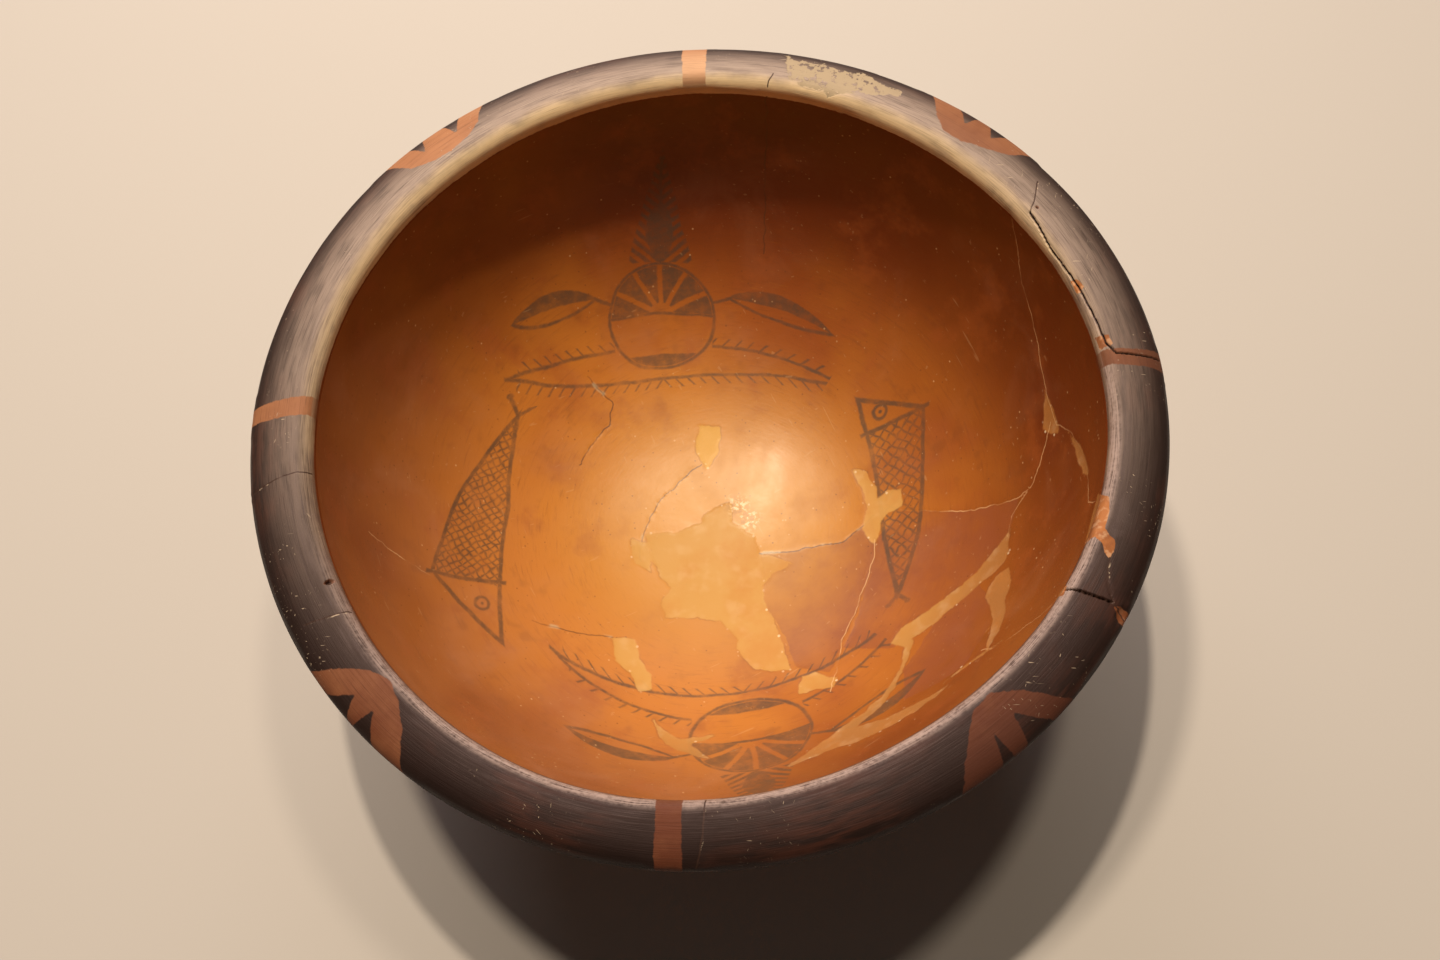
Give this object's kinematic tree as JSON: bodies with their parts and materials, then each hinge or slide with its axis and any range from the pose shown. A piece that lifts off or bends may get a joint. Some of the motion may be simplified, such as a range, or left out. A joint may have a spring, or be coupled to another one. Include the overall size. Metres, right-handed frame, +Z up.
{
  "type": "painted pottery basin",
  "caption": "Wide round-bottomed painted pottery basin with a rolled lip, open at the top, standing on a small flattened underside.",
  "frame": {"origin": "middle of the flattened underside, on the surface that the basin stands on", "axes": "+Z up through the middle of the mouth; -Y is the side nearest the viewer in the picture, +X is to the viewer's right"},
  "size_m": [0.3992, 0.3969, 0.165],
  "materials": {
    "burnished_red_clay": "burnished orange-red fired clay with a satin sheen, and a dark brown painted lip"
  },
  "bodies": {
    "root": {"basin": "burnished_red_clay"}
  },
  "joints": []
}
